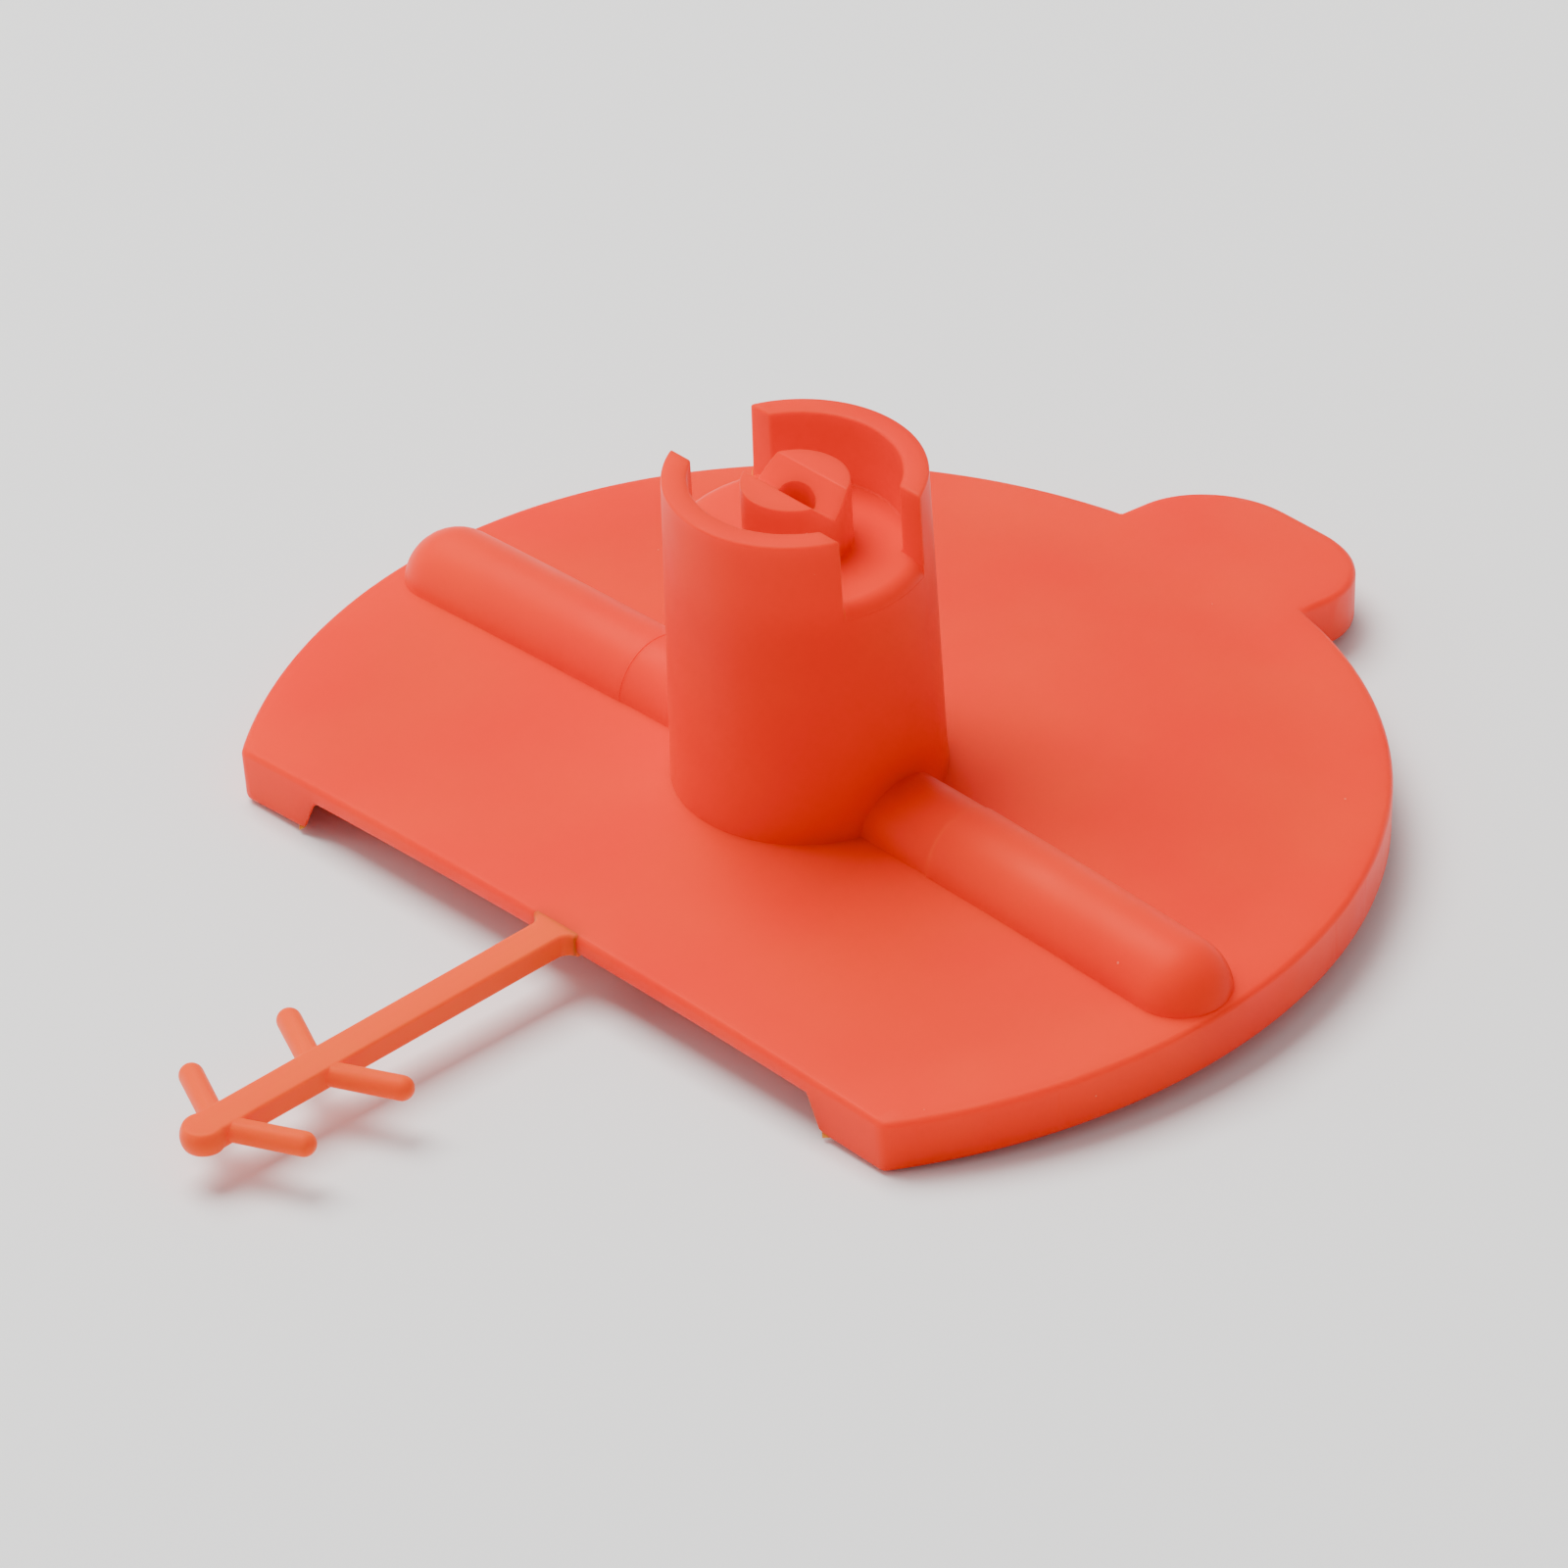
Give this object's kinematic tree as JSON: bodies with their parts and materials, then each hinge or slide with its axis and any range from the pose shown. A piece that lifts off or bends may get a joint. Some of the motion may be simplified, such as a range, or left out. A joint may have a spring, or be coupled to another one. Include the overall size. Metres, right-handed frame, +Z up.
{
  "type": "ice fishing tip-up top plate",
  "caption": "Round moulded tip-up plate with a notched centre tower, V-shaped wire seat, half-round ribs, a lift tab and a barbed line keeper.",
  "frame": {"origin": "on the tower's axis at the mouth of the stem socket, just below the deck", "axes": "+Z up along the tower, +Y towards the lift tab, -Y along the line keeper, +X to the right seen from the line keeper"},
  "size_m": [0.054, 0.0715, 0.0218],
  "materials": {
    "moulding": "soft gloss moulded polypropylene, slightly translucent",
    "thin_moulding": "soft gloss moulded polypropylene in thin section, lighter where light passes through"
  },
  "bodies": {
    "root": {"deck_plate": "moulding", "rim_bead": "moulding", "lift_tab": "moulding", "tower_wall": "moulding", "crown_front": "moulding", "crown_back": "moulding", "pocket_floor": "moulding", "seat_post": "moulding", "seat_jaw_front": "moulding", "seat_jaw_back": "moulding", "rib_left": "moulding", "rib_right": "moulding", "rib_collar_left": "moulding", "rib_collar_right": "moulding", "arm_root": "thin_moulding", "arm_stem": "thin_moulding", "arm_end": "thin_moulding", "barb_inner_left": "thin_moulding", "barb_inner_right": "thin_moulding", "barb_outer_left": "thin_moulding", "barb_outer_right": "thin_moulding"}
  },
  "joints": []
}
